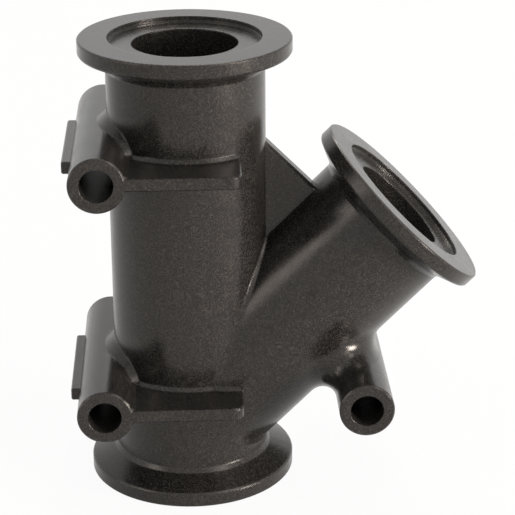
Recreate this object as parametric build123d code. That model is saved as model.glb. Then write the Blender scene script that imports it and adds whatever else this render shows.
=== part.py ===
"""Lateral wye fitting: a straight run with a flange at each end and a 45 degree branch.

The fitting is one moulding.  The origin is the centre of the bottom flange's face, +Z runs up the
run's axis, the branch rises towards +X, and the moulding is symmetric about the plane y = 0.
All sizes are in millimetres and all angles in degrees.
"""
from build123d import *
import os
from math import cos, hypot, radians, sin, tan

# Pipe and its flow passage
pipe_diameter = 38.1
bore_diameter = 25.4
run_length = 112.0
branch_angle = 45.0
branch_length = 74.9
branch_draft = 0.1  # the branch is this much thinner, as a core that draws out of the run needs
crease_gap = 2.5  # from the bottom flange's neck up to where the branch leaves the run
crease_blend = 0.8

# Clamp flanges, the same on all three ends
flange_diameter = 51.0
flange_rim = 3.5
flange_back_angle = 25.0
flange_neck_blend = 0.8
flange_edge_break = 0.3

# Gasket recess in each flange face, with a narrow ledge above its floor
recess_diameter = 36.8
recess_wall = 1.15
recess_ledge_width = 0.25
recess_ledge_step = 0.5

# Through bosses for the mounting bolts, all along Y
boss_diameter = 13.3
bolt_hole_diameter = 7.95
boss_length = 59.3
boss_end_break = 0.4
side_boss_offset = 20.8  # from the run's axis
side_boss_inset = 26.85  # from either end of the run
side_boss_blend = 2.4  # a chamfer as deep as a 4 mm fillet
branch_boss_offset = 22.3  # below the branch's axis
branch_boss_reach = 36.7  # along the branch
branch_boss_fillet = 5.5

# Stiffening plates and tabs at the side bosses
plate_thickness = 3.0
plate_reach = 12.4
plate_corner_round = 2.8
plate_edge_break = 0.35
plate_root_blend = 0.8
tab_reach = 29.4
tab_length = 32.6

# Gusset in the acute angle: a land with a pad on each side of it
gusset_setback = 12.5  # from the branch flange's face to the gusset's free edge
gusset_land_width = 3.6
gusset_pad_width = 7.0
gusset_land_step = 0.45

pipe_radius = pipe_diameter / 2
branch_radius = pipe_radius - branch_draft / 2
pipe_wall = (pipe_diameter - bore_diameter) / 2
boss_radius = boss_diameter / 2
flange_neck_height = flange_rim + (flange_diameter / 2 - pipe_radius) * tan(radians(flange_back_angle))
branch_height = flange_neck_height + crease_gap + pipe_radius * tan(radians(branch_angle) / 2)
branch_plane = Plane(
    origin=(0, 0, branch_height),
    x_dir=(cos(radians(branch_angle)), 0, -sin(radians(branch_angle))),
    z_dir=(sin(radians(branch_angle)), 0, cos(radians(branch_angle))),
)
side_boss_heights = [side_boss_inset, run_length - side_boss_inset]
branch_boss_centre = branch_plane.from_local_coords((branch_boss_offset, 0, branch_boss_reach))
gusset_reach = branch_length - gusset_setback
TOUCH = 1e-3  # how near counts as lying on a plane or a line


def cylinder_between(radius, start, end):
    """Solid cylinder about Z from the height start to the height end."""
    return Pos(0, 0, (start + end) / 2) * Cylinder(radius, end - start)


def turned_over(shape, height):
    """The same shape upside down, with what was at z = 0 now at the given height."""
    return Pos(0, 0, height) * Rot(180, 0, 0) * shape


def flange(radius):
    """Flange with its face on z = 0 and a sloping clamp back that runs into a pipe of this radius."""
    rim = flange_diameter / 2
    neck_height = flange_rim + (rim - radius) * tan(radians(flange_back_angle))
    end_height = neck_height + 2 * flange_neck_blend
    outline = Polyline(
        (0, 0),
        (rim, 0),
        (rim, flange_rim),
        (radius, neck_height),
        (radius, end_height),
        (0, end_height),
        close=True,
    )
    section = make_face(outline)
    section = chamfer(section.vertices().filter_by(lambda v: abs(v.X - rim) < TOUCH), flange_edge_break)
    neck = section.vertices().filter_by(lambda v: abs(v.X - radius) < TOUCH).sort_by(Axis.Y)[0]
    section = chamfer(neck, flange_neck_blend)
    return revolve(Plane.XZ * section, Axis.Z)


def outer_pipes():
    """Run and branch as solid bars with their flanges."""
    run = cylinder_between(pipe_radius, flange_rim, run_length - flange_rim)
    run += flange(pipe_radius)
    run += turned_over(flange(pipe_radius), run_length)
    branch = cylinder_between(branch_radius, 0, branch_length - flange_rim)
    branch += turned_over(flange(branch_radius), branch_length)
    return run + branch_plane.location * branch


def meeting_curves(body):
    """Edges where two round walls meet, which are neither straight nor arcs of a circle."""
    return body.edges().filter_by(lambda e: e.geom_type not in (GeomType.CIRCLE, GeomType.LINE))


def is_crease(edge):
    """True for a curve that lies both on the run's wall and on the branch's."""
    middle = edge @ 0.5
    across = branch_plane.to_local_coords(middle)
    off_run = abs(hypot(middle.X, middle.Y) - pipe_radius)
    off_branch = abs(hypot(across.X, across.Y) - branch_radius)
    return max(off_run, off_branch) < TOUCH


def gusset_web(reach, width):
    """Three-cornered web sunk into both pipe walls, its free edge square to the branch at this reach."""
    slope = radians(branch_angle)
    run_side = pipe_radius - pipe_wall / 2
    branch_side = pipe_wall / 2 - branch_radius
    crotch = (run_side - branch_side * cos(slope)) / sin(slope)
    run_end = (run_side - reach * sin(slope)) / cos(slope)
    corners = [(branch_side, 0, crotch), (branch_side, 0, reach), (run_end, 0, reach)]
    corners = [branch_plane.from_local_coords(corner) for corner in corners]
    outline = Polyline(*[(corner.X, corner.Z) for corner in corners], close=True)
    return extrude(Plane.XZ * make_face(outline), amount=width / 2, both=True)


def add_gusset(body):
    """Fuse the gusset's land and its two pads."""
    body += gusset_web(gusset_reach, gusset_land_width)
    body += gusset_web(gusset_reach - gusset_land_step, gusset_pad_width)
    return body


def boss_bar():
    """One boss about Y, solid, with its end edges broken."""
    bar = Rot(90, 0, 0) * Cylinder(boss_radius, boss_length)
    return chamfer(bar.edges().filter_by(GeomType.CIRCLE), boss_end_break)


def boss_roots(body, offset, height):
    """Curves where the boss at this place meets a pipe."""
    return meeting_curves(body).filter_by(
        lambda e: abs(e.bounding_box().center().X - offset) < boss_radius
        and abs(e.bounding_box().center().Z - height) < boss_diameter
    )


def add_bosses(body):
    """Fuse the three through bosses and blend each one into its pipe."""
    for height in side_boss_heights:
        body += Pos(-side_boss_offset, 0, height) * boss_bar()
        body = chamfer(boss_roots(body, -side_boss_offset, height), side_boss_blend)
    offset, height = branch_boss_centre.X, branch_boss_centre.Z
    body += Pos(offset, 0, height) * boss_bar()
    return fillet(boss_roots(body, offset, height), branch_boss_fillet)


def stiffening_plate():
    """Flat plate from a side boss across the run, rounded at its two free corners."""
    width = plate_reach + side_boss_offset
    outline = Pos(plate_reach - width / 2, 0) * Rectangle(width, boss_length)
    outline = fillet(outline.vertices().filter_by(lambda v: v.X > 0), plate_corner_round)
    plate = extrude(outline, amount=plate_thickness / 2, both=True)
    free_edges = plate.edges().filter_by(
        lambda e: abs(e.center().Z) > plate_thickness / 2 - TOUCH and e.center().X > TOUCH - side_boss_offset
    )
    return chamfer(free_edges, plate_edge_break)


def boss_tab():
    """Short tab on the outer side of a side boss, in line with the plate."""
    width = tab_reach - side_boss_offset
    tab = Pos(width / 2 - tab_reach, 0, 0) * Box(width, tab_length, plate_thickness)
    free_edges = tab.edges().filter_by(lambda e: e.center().X < -side_boss_offset - TOUCH)
    return chamfer(free_edges, plate_edge_break)


def is_plate_root(edge):
    """True for an edge where a plate's flat face meets a pipe, a boss or the blend between them."""
    box = edge.bounding_box()
    off_face = min(abs(abs(box.center().Z - height) - plate_thickness / 2) for height in side_boss_heights)
    lies_flat = box.size.Z < TOUCH and off_face < TOUCH
    corner_radius = plate_corner_round - plate_edge_break
    left_sharp = (
        box.max.X < -side_boss_offset  # on a tab
        or edge.length < plate_edge_break  # too short to blend
        or min(abs(box.min.Y), abs(box.max.Y)) > boss_length / 2 - plate_edge_break - TOUCH  # free end
        or box.min.X > plate_reach - plate_edge_break - TOUCH  # free side
        or (edge.geom_type == GeomType.CIRCLE and abs(edge.radius - corner_radius) < TOUCH)  # free corner
    )
    return lies_flat and not left_sharp


def add_plates(body):
    """Fuse a plate and a tab at each side boss, and blend the plates' flat faces into the walls."""
    for height in side_boss_heights:
        body += Pos(0, 0, height) * stiffening_plate()
        body += Pos(0, 0, height) * boss_tab()
    return chamfer(body.edges().filter_by(is_plate_root), plate_root_blend)


def recess():
    """Cutter for the gasket recess of a flange whose face is on z = 0."""
    cutter = cylinder_between(recess_diameter / 2, 0, recess_wall)
    cutter += cylinder_between(recess_diameter / 2 - recess_ledge_width, 0, recess_wall + recess_ledge_step)
    return cutter


def flow_passage():
    """Cutter for both bores and the three recesses."""
    passage = cylinder_between(bore_diameter / 2, 0, run_length)
    passage += recess()
    passage += turned_over(recess(), run_length)
    branch = cylinder_between((bore_diameter - branch_draft) / 2, 0, branch_length)
    branch += turned_over(recess(), branch_length)
    return passage + branch_plane.location * branch


def bolt_hole(offset, height):
    """Cutter for the through hole of one boss."""
    return Pos(offset, 0, height) * Rot(90, 0, 0) * Cylinder(bolt_hole_diameter / 2, boss_length)


def wye_fitting():
    """The whole moulding."""
    body = add_gusset(outer_pipes())
    body = add_bosses(body)
    body = add_plates(body)
    body = chamfer(meeting_curves(body).filter_by(is_crease), crease_blend)
    body -= flow_passage()
    for height in side_boss_heights:
        body -= bolt_hole(-side_boss_offset, height)
    body -= bolt_hole(branch_boss_centre.X, branch_boss_centre.Z)
    return body


os.makedirs("parts", exist_ok=True)
export_step(wye_fitting(), "parts/wye_fitting.step")
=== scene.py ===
"""Studio scene of a moulded lateral wye fitting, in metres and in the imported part's own frame."""
import logging
import math
from dataclasses import dataclass, field
from enum import Enum
from typing import Any

import bpy
from mathutils import Matrix, Vector

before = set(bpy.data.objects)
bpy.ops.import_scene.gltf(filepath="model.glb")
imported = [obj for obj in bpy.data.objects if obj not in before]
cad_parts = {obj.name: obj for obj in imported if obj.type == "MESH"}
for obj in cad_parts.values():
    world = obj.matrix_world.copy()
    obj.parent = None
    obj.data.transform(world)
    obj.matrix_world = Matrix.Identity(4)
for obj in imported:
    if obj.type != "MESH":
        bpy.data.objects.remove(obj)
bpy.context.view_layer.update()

LOG = logging.getLogger("wye_fitting_scene")
MM = 0.001
WHITE = (1.0, 1.0, 1.0, 1.0)
MATH = "ShaderNodeMath"
NOISE = "ShaderNodeTexNoise"


class Grain(Enum):
    """Sizes of the patterns in the moulded skin, in millimetres."""

    PEBBLE = 0.28  # the real etched skin is about 0.1 mm, drawn coarser so that it can be seen
    FIBRE = 0.6
    SWIRL = 4.0
    FLOW = 5.0
    CLOUD = 7.0


class Sum(Enum):
    """What a Math node does with its values."""

    ADD = "ADD"
    TIMES = "MULTIPLY"
    AT_LEAST = "MAXIMUM"
    SINE = "SINE"


def srgb(code: str) -> tuple[float, float, float, float]:
    """Turn an sRGB hex colour into the linear colour that a shader socket takes.

    Args:
        code: Six hex digits with a leading hash.

    Returns:
        Linear red, green and blue, and an alpha of 1.
    """
    parts = [int(code[i:i + 2], 16) / 255 for i in (1, 3, 5)]
    linear = [p / 12.92 if p <= 0.04045 else ((p + 0.055) / 1.055) ** 2.4 for p in parts]
    return (linear[0], linear[1], linear[2], 1.0)


def per_metre(size_mm: float) -> float:
    """Pattern scale whose features are about this many millimetres apart.

    Args:
        size_mm: Size of one feature in millimetres.

    Returns:
        Features per metre.
    """
    return 1.0 / (size_mm * MM)


def add_node(tree: bpy.types.NodeTree, kind: str, settings: dict[Any, Any] | None = None,
             links: dict[Any, Any] | None = None) -> bpy.types.Node:
    """Add one node, set its properties and sockets, and link its inputs.

    Args:
        tree: Node tree that takes the node.
        kind: Blender's type name of the node.
        settings: Values by property name, or by the name or number of an input.
        links: Output sockets by the name or number of the input that each one feeds.

    Returns:
        The new node.
    """
    node = tree.nodes.new(kind)
    for name, value in (settings or {}).items():
        if isinstance(name, str) and hasattr(node, name):
            setattr(node, name, value)
        else:
            node.inputs[name].default_value = value
    for name, output in (links or {}).items():
        tree.links.new(output, node.inputs[name])
    return node


def empty_material(name: str) -> tuple[bpy.types.Material, bpy.types.NodeTree]:
    """Make a material with an empty node tree.

    Args:
        name: Name of the real material.

    Returns:
        The material and its node tree.
    """
    material = bpy.data.materials.new(name)
    material.use_nodes = True
    material.node_tree.nodes.clear()
    return material, material.node_tree


@dataclass(frozen=True)
class MouldedPolypropylene:
    """Charcoal glass-filled polypropylene as it leaves the mould.

    The short glass fibres lie just under the skin, so the eye gets a fine speckle with short
    strokes along the flow, faint curved flow lines, and a satin skin that mirrors the lamps softly.

    Args:
        name: Name of the material.
        body: Colour of most of the skin.
        shade: Colour between the fibres.
        fibre: Colour over the fibres.
        gloss_tint: Tint of what the skin mirrors face on.
        ior: Index of refraction, set under the plastic's own 1.49 so that the white surround
            doesn't drown the lamps' highlights.
        roughness: Mean roughness.
        roughness_drift: How far the roughness strays on either side.
        grain_height: Height of the grain in metres.
        edge_round: Radius of the broken edges in metres.
        curl_reach: How far the flow draws the fibre pattern out, in metres.
        contours: Phase in radians over the flow pattern's full range, which draws about 12 lines.
        contour_height: Height of a flow line, as a share of the grain.
        fibre_share: Share of the fibres in the grain.
        pebble_share: Share of the fine pebbling in the grain.
        tone_stops: Grain heights at which the shade, body and fibre colours stand.
    """

    name: str = "moulded_glass_filled_polypropylene"
    body: str = "#1D1C1B"
    shade: str = "#0F0F0E"
    fibre: str = "#3B3834"
    gloss_tint: str = "#FFF8F3"
    ior: float = 1.43
    roughness: float = 0.2
    roughness_drift: float = 0.05
    grain_height: float = 0.025 * MM
    edge_round: float = 0.5 * MM
    curl_reach: float = 9.0 * MM
    contours: float = 75.0
    contour_height: float = 0.035
    fibre_share: float = 0.55
    pebble_share: float = 0.45
    tone_stops: tuple[float, float, float] = (0.36, 0.5, 0.64)

    def build(self) -> bpy.types.Material:
        """Build the node tree.

        Returns:
            The finished material.
        """
        material, tree = empty_material(self.name)
        place = add_node(tree, "ShaderNodeTexCoord").outputs["Object"]
        speckle = self.grain(tree, place)
        rounded = add_node(tree, "ShaderNodeBevel", {"samples": 4, "Radius": self.edge_round})
        bump = add_node(tree, "ShaderNodeBump", {"Strength": 1.0, "Distance": self.grain_height},
                        {"Height": speckle, "Normal": rounded.outputs["Normal"]})
        bsdf = add_node(tree, "ShaderNodeBsdfPrincipled",
                        {"IOR": self.ior, "Specular Tint": srgb(self.gloss_tint)},
                        {"Base Color": self.tone(tree, speckle),
                         "Roughness": self.gloss(tree, place), "Normal": bump.outputs["Normal"]})
        add_node(tree, "ShaderNodeOutputMaterial", {}, {"Surface": bsdf.outputs["BSDF"]})
        return material

    def grain(self, tree: bpy.types.NodeTree, place: bpy.types.NodeSocket) -> bpy.types.NodeSocket:
        """Height of the skin: fine pebbling, fibres drawn out along the flow, and flow lines.

        Args:
            tree: Node tree that takes the nodes.
            place: Object coordinates.

        Returns:
            The height, about 0.5 on average.
        """
        pebble = add_node(tree, NOISE,
                          {"Scale": per_metre(Grain.PEBBLE.value), "Detail": 2.0, "Roughness": 0.6},
                          {"Vector": place}).outputs["Fac"]
        fibre = add_node(tree, NOISE,
                         {"Scale": per_metre(Grain.FIBRE.value), "Detail": 4.0, "Roughness": 0.7,
                          "Distortion": 1.0}, {"Vector": self.swirl(tree, place)}).outputs["Fac"]
        fibres = add_node(tree, MATH, {"operation": Sum.TIMES.value, 1: self.fibre_share}, {0: fibre})
        pebbles = add_node(tree, MATH, {"operation": Sum.TIMES.value, 1: self.pebble_share}, {0: pebble})
        both = add_node(tree, MATH, {"operation": Sum.ADD.value},
                        {0: fibres.outputs[0], 1: pebbles.outputs[0]})
        return add_node(tree, MATH, {"operation": Sum.ADD.value},
                        {0: both.outputs[0], 1: self.flow_lines(tree, place)}).outputs[0]

    def swirl(self, tree: bpy.types.NodeTree, place: bpy.types.NodeSocket) -> bpy.types.NodeSocket:
        """Coordinates drawn out along curls, as the melt flowed, so that a pattern on them curls.

        Args:
            tree: Node tree that takes the nodes.
            place: Object coordinates.

        Returns:
            The curled coordinates.
        """
        curl = add_node(tree, NOISE,
                        {"Scale": per_metre(Grain.SWIRL.value), "Detail": 2.0, "Roughness": 0.5},
                        {"Vector": place}).outputs["Color"]
        shift = add_node(tree, "ShaderNodeVectorMath",
                         {"operation": "MULTIPLY", 1: (self.curl_reach,) * 3}, {0: curl})
        return add_node(tree, "ShaderNodeVectorMath", {"operation": "ADD"},
                        {0: place, 1: shift.outputs["Vector"]}).outputs["Vector"]

    def flow_lines(self, tree: bpy.types.NodeTree, place: bpy.types.NodeSocket) -> bpy.types.NodeSocket:
        """Fine curved lines, as the front of the melt left them, like the contours on a map.

        Args:
            tree: Node tree that takes the nodes.
            place: Object coordinates.

        Returns:
            A small height, above and below nothing.
        """
        hills = add_node(tree, NOISE,
                         {"Scale": per_metre(Grain.FLOW.value), "Detail": 1.0, "Roughness": 0.4,
                          "Distortion": 1.2}, {"Vector": place}).outputs["Fac"]
        phase = add_node(tree, MATH, {"operation": Sum.TIMES.value, 1: self.contours}, {0: hills})
        line = add_node(tree, MATH, {"operation": Sum.SINE.value}, {0: phase.outputs[0]})
        return add_node(tree, MATH, {"operation": Sum.TIMES.value, 1: self.contour_height},
                        {0: line.outputs[0]}).outputs[0]

    def tone(self, tree: bpy.types.NodeTree, speckle: bpy.types.NodeSocket) -> bpy.types.NodeSocket:
        """Colour of the skin, darker between the fibres and lighter over them.

        Args:
            tree: Node tree that takes the node.
            speckle: Height of the grain.

        Returns:
            The colour.
        """
        ramp = add_node(tree, "ShaderNodeValToRGB", {}, {"Fac": speckle})
        low, middle, high = self.tone_stops
        ends = ramp.color_ramp.elements
        ends[0].position, ends[0].color = low, srgb(self.shade)
        ends[1].position, ends[1].color = high, srgb(self.fibre)
        ends.new(middle).color = srgb(self.body)
        return ramp.outputs["Color"]

    def gloss(self, tree: bpy.types.NodeTree, place: bpy.types.NodeSocket) -> bpy.types.NodeSocket:
        """Roughness of the skin, which drifts a little in broad faint clouds.

        Args:
            tree: Node tree that takes the nodes.
            place: Object coordinates.

        Returns:
            The roughness.
        """
        cloud = add_node(tree, NOISE,
                         {"Scale": per_metre(Grain.CLOUD.value), "Detail": 4.0, "Roughness": 0.6},
                         {"Vector": place}).outputs["Fac"]
        return add_node(tree, "ShaderNodeMapRange",
                        {"From Min": 0.3, "From Max": 0.7,
                         "To Min": self.roughness - self.roughness_drift,
                         "To Max": self.roughness + self.roughness_drift},
                        {"Value": cloud}).outputs["Result"]


@dataclass(frozen=True)
class MattPaper:
    """Matt studio paper: plain white to the eye, with the part's soft shadow left faintly on it.

    Args:
        name: Name of the material.
        colour: Colour of the paper under light.
        plain_share: Share of plain white in what the camera sees.
        mirrored_share: Share of plain white in what gloss and glass show of it.
    """

    name: str = "white_matt_paper"
    colour: str = "#E7E7E7"
    plain_share: float = 0.94
    mirrored_share: float = 0.55

    def build(self) -> bpy.types.Material:
        """Build the node tree.

        Returns:
            The finished material.
        """
        material, tree = empty_material(self.name)
        paper = add_node(tree, "ShaderNodeBsdfDiffuse", {"Color": srgb(self.colour)})
        glow = add_node(tree, "ShaderNodeEmission", {"Color": WHITE, "Strength": 1.0})
        ray = add_node(tree, "ShaderNodeLightPath").outputs
        indirect = add_node(tree, MATH, {"operation": Sum.AT_LEAST.value},
                            {0: ray["Is Glossy Ray"], 1: ray["Is Transmission Ray"]})
        mirrored = add_node(tree, MATH, {"operation": Sum.TIMES.value, 1: self.mirrored_share},
                            {0: indirect.outputs[0]})
        plain = add_node(tree, MATH, {"operation": Sum.TIMES.value, 1: self.plain_share},
                         {0: ray["Is Camera Ray"]})
        share = add_node(tree, MATH, {"operation": Sum.AT_LEAST.value},
                         {0: mirrored.outputs[0], 1: plain.outputs[0]})
        mix = add_node(tree, "ShaderNodeMixShader", {},
                       {0: share.outputs[0], 1: paper.outputs["BSDF"], 2: glow.outputs["Emission"]})
        add_node(tree, "ShaderNodeOutputMaterial", {}, {"Surface": mix.outputs["Shader"]})
        return material


@dataclass(frozen=True)
class Softbox:
    """A square lamp that faces the part.

    Args:
        name: Name of the lamp.
        bearing: Degrees round the part, 0 at the camera's side and 90 towards +X.
        height: Degrees above the horizon.
        watts: Power.
        side: Width of its face in metres.
        distance: Metres from the middle of the part.
        tint: Colour, a shade warmer than the white surround.
    """

    name: str
    bearing: float
    height: float
    watts: float
    side: float = 0.35
    distance: float = 1.0
    tint: str = "#FFF7EE"

    def hang(self, centre: Vector) -> None:
        """Hang the lamp so that it faces this point.

        Args:
            centre: Point at the middle of the part.
        """
        bearing, height = math.radians(self.bearing), math.radians(self.height)
        towards = Vector((math.sin(bearing) * math.cos(height), -math.cos(bearing) * math.cos(height),
                          math.sin(height)))
        lamp = bpy.data.lights.new(self.name, "AREA")
        lamp.shape = "SQUARE"
        lamp.size = self.side
        lamp.energy = self.watts
        lamp.color = srgb(self.tint)[:3]
        holder = bpy.data.objects.new(self.name, lamp)
        holder.location = centre + self.distance * towards
        holder.rotation_euler = (-towards).to_track_quat("-Z", "Y").to_euler()
        bpy.context.scene.collection.objects.link(holder)


def softboxes() -> list[Softbox]:
    """The studio's lamps.

    Returns:
        A low key at the right, and weak ones in front, high at the right, behind and at the left.
    """
    return [
        Softbox("key", 60, 5, 16.5),
        Softbox("key_top", 60, 45, 1.3),
        Softbox("front_right", 40, 25, 1.2),
        Softbox("high_right", 80, 65, 0.8),
        Softbox("back", 180, 45, 3.0),
        Softbox("high_back", 160, 65, 1.7),
        Softbox("front_left", 300, 25, 1.0),
        Softbox("left", 280, 5, 0.8),
    ]


@dataclass
class Studio:
    """White paper floor in a white surround, with soft lamps.

    Args:
        paper: Finish of the floor.
        floor_side: Width of the floor in metres.
        floor_gap: How far the floor lies under the part, so that the two faces never share a place.
        fill: Strength of the surround for matt surfaces.
        centre: Point that the lamps face.
        lamps: The lamps.
    """

    paper: MattPaper = field(default_factory=MattPaper)
    floor_side: float = 6.0
    floor_gap: float = 0.2 * MM
    fill: float = 0.45
    centre: Vector = field(default_factory=lambda: Vector((0.017, 0.0, 0.056)))
    lamps: list[Softbox] = field(default_factory=softboxes)

    def build(self) -> None:
        """Lay the floor, light the surround and hang the lamps."""
        self.lay_floor()
        LOG.info("laid the floor")
        self.light_surround()
        LOG.info("lit the surround")
        for lamp in self.lamps:
            lamp.hang(self.centre)
            LOG.info("hung the lamp %s", lamp.name)

    def lay_floor(self) -> None:
        """Lay a sheet of white paper under the part."""
        bpy.ops.object.select_all(action="DESELECT")
        bpy.ops.mesh.primitive_plane_add(size=self.floor_side, location=(0.0, 0.0, -self.floor_gap))
        floor = bpy.context.active_object
        floor.name = "paper_floor"
        floor.data.materials.append(self.paper.build())

    def light_surround(self) -> None:
        """Surround the part with plain white, which the camera, gloss and glass see alike.

        Matt surfaces get only a weak fill from it, so the level is set by the lamps.
        """
        world = bpy.data.worlds.new("white_surround")
        bpy.context.scene.world = world
        world.use_nodes = True
        tree = world.node_tree
        tree.nodes.clear()
        ray = add_node(tree, "ShaderNodeLightPath").outputs
        mirrored = add_node(tree, MATH, {"operation": Sum.AT_LEAST.value},
                            {0: ray["Is Glossy Ray"], 1: ray["Is Transmission Ray"]})
        plain = add_node(tree, MATH, {"operation": Sum.AT_LEAST.value},
                         {0: ray["Is Camera Ray"], 1: mirrored.outputs[0]})
        strength = add_node(tree, MATH, {"operation": Sum.AT_LEAST.value, 1: self.fill},
                            {0: plain.outputs[0]})
        white = add_node(tree, "ShaderNodeBackground", {"Color": WHITE},
                         {"Strength": strength.outputs[0]})
        add_node(tree, "ShaderNodeOutputWorld", {}, {"Surface": white.outputs["Background"]})


@dataclass(frozen=True)
class StillCamera:
    """Camera a little above the part and almost square to its front.

    Args:
        place: Where the camera stands.
        azimuth: Degrees that it stands round from the front.
        elevation: Degrees that it looks down.
        roll: Degrees that it leans.
        lens: Focal length in millimetres.
        frame_width: Width of the frame in millimetres.
        reach: Farthest distance that the camera sees, in metres.
    """

    place: tuple[float, float, float] = (-0.000921, -0.438612, 0.230229)
    azimuth: float = -2.326
    elevation: float = 21.723
    roll: float = -0.355
    lens: float = 133.71
    frame_width: float = 36.0
    reach: float = 50.0

    def build(self) -> None:
        """Set the camera up and make it the scene's."""
        azimuth, elevation, roll = (math.radians(a) for a in (self.azimuth, self.elevation, self.roll))
        back = Vector((math.sin(azimuth) * math.cos(elevation), -math.cos(azimuth) * math.cos(elevation),
                       math.sin(elevation)))
        right = Vector((0.0, 0.0, 1.0)).cross(back).normalized()
        over = back.cross(right)
        leant_right = math.cos(roll) * right + math.sin(roll) * over
        leant_over = math.cos(roll) * over - math.sin(roll) * right
        data = bpy.data.cameras.new("still_camera")
        data.sensor_width = self.frame_width
        data.lens = self.lens
        data.clip_end = self.reach
        holder = bpy.data.objects.new("still_camera", data)
        turn = Matrix((leant_right, leant_over, back)).transposed().to_4x4()
        holder.matrix_world = Matrix.Translation(self.place) @ turn
        bpy.context.scene.collection.objects.link(holder)
        bpy.context.scene.camera = holder


@dataclass
class Moulding:
    """The one-piece wye fitting.

    Args:
        node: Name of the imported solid.
        finish: Its skin.
    """

    node: str = "wye_fitting"
    finish: MouldedPolypropylene = field(default_factory=MouldedPolypropylene)

    def build(self) -> None:
        """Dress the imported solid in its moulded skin."""
        skin = self.finish.build()
        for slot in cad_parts[self.node].material_slots:
            slot.material = skin


def main() -> None:
    """Build the moulding, the studio and the camera."""
    logging.basicConfig(level=logging.INFO)
    bpy.context.scene.view_settings.view_transform = "Standard"
    Moulding().build()
    LOG.info("dressed the moulding")
    Studio().build()
    StillCamera().build()
    LOG.info("set the camera")


if __name__ == "__main__":
    main()
